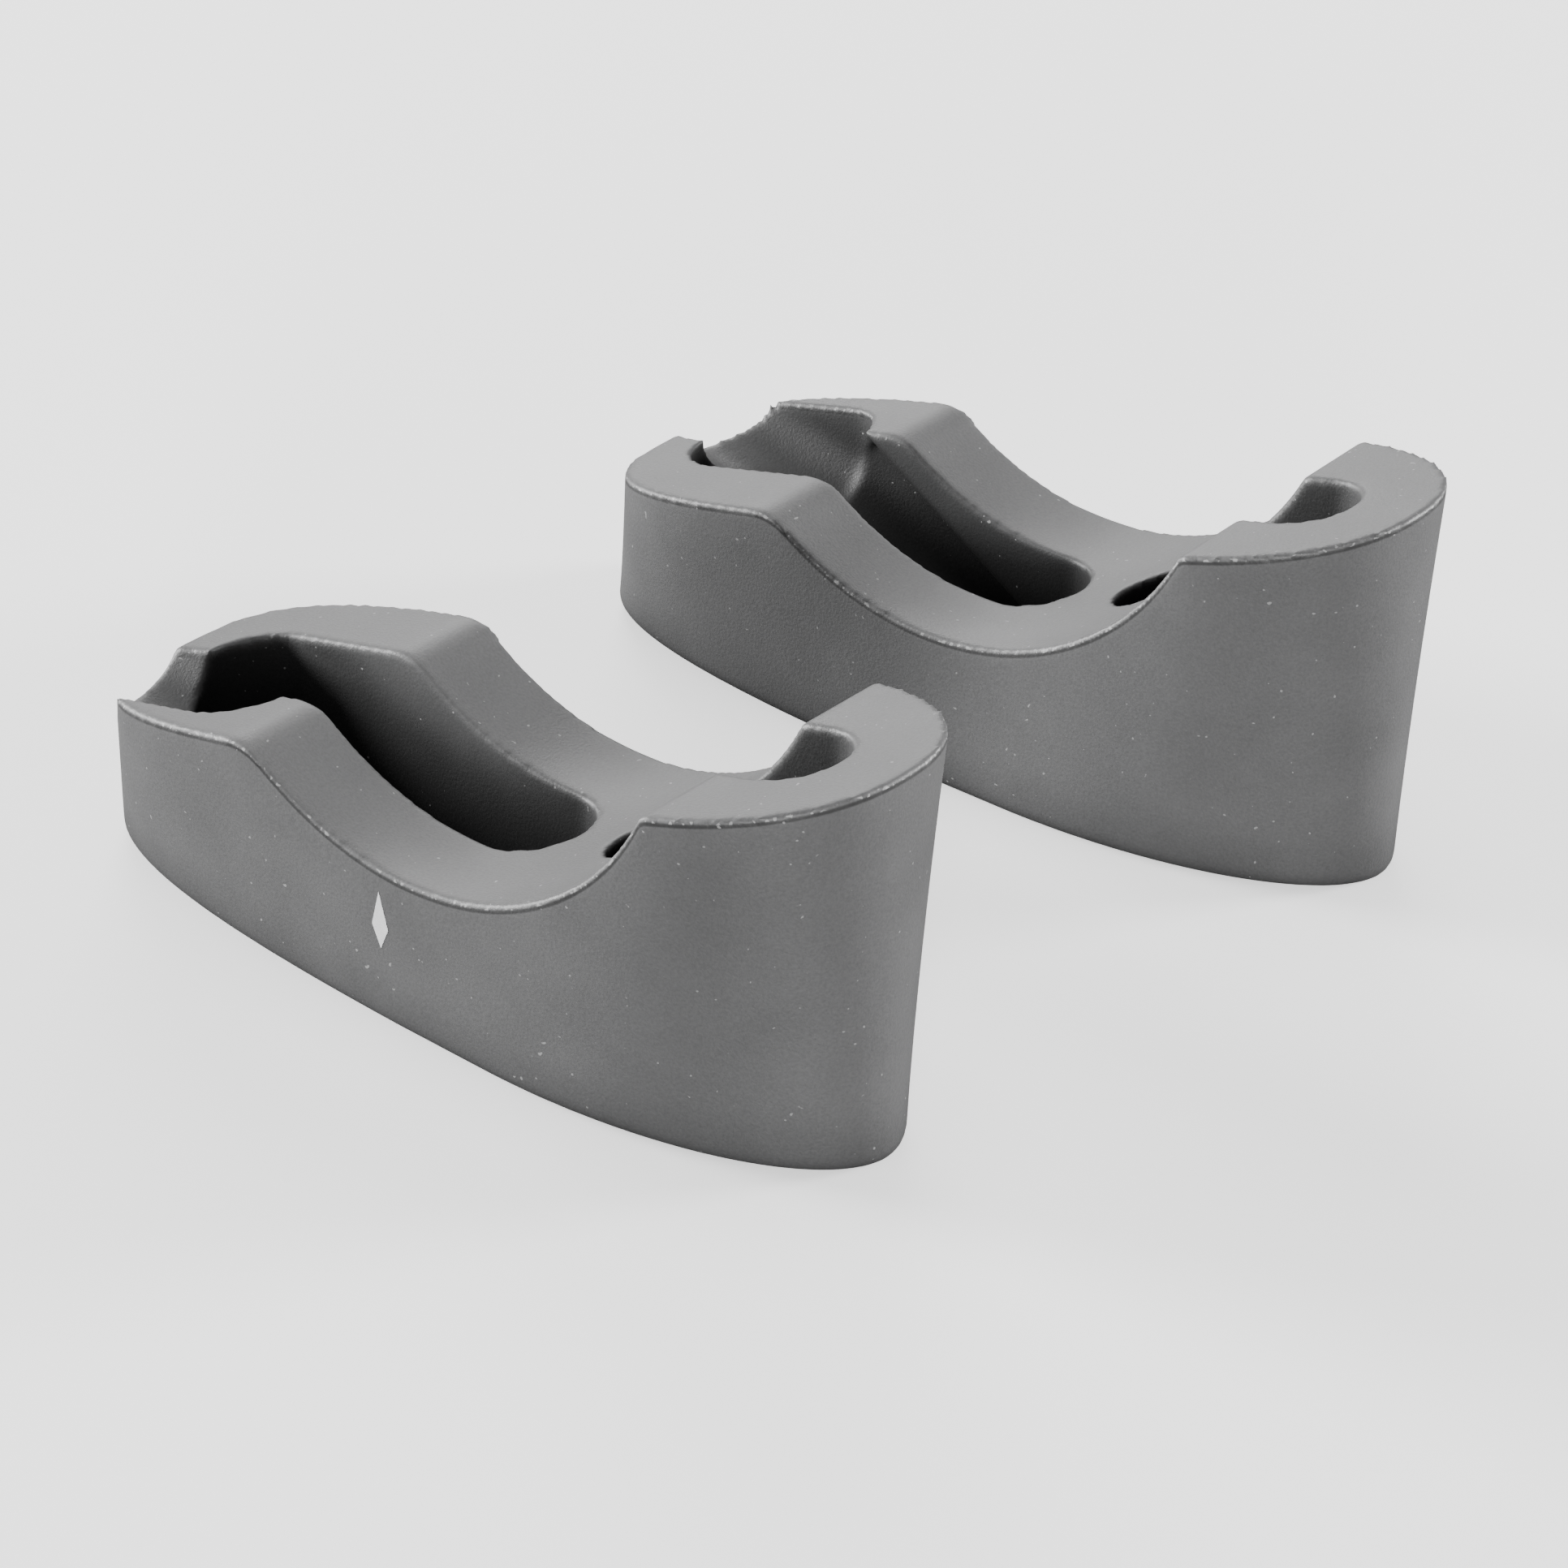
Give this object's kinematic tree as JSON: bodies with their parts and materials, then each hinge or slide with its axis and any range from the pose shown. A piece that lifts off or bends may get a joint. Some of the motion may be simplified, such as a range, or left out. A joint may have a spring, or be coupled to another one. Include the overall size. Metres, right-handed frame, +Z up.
{
  "type": "blade guard pair",
  "caption": "Mirrored pair of wedge-shaped moulded blade guards with a round saddle across the sloping top, a long pocket, a strap slot and a side channel.",
  "frame": {"origin": "middle of the pair's bounding box, on the surface both guards stand on", "axes": "+X along the left guard towards its tall end, +Y from the left guard to the right one, +Z up"},
  "size_m": [0.0852, 0.086, 0.0348],
  "materials": {
    "shell": "fine even grain, dark grey, slightly polished at the rims",
    "mark": "smooth light grey"
  },
  "bodies": {
    "left": {"left_guard": "shell", "index_mark": "mark"},
    "right": {"right_guard": "shell"}
  },
  "joints": [
    {"name": "right_guard_slide", "type": "slide", "parent": "left", "child": "right", "axis": [0, 1, 0], "range_m": [0, 0.1]}
  ]
}
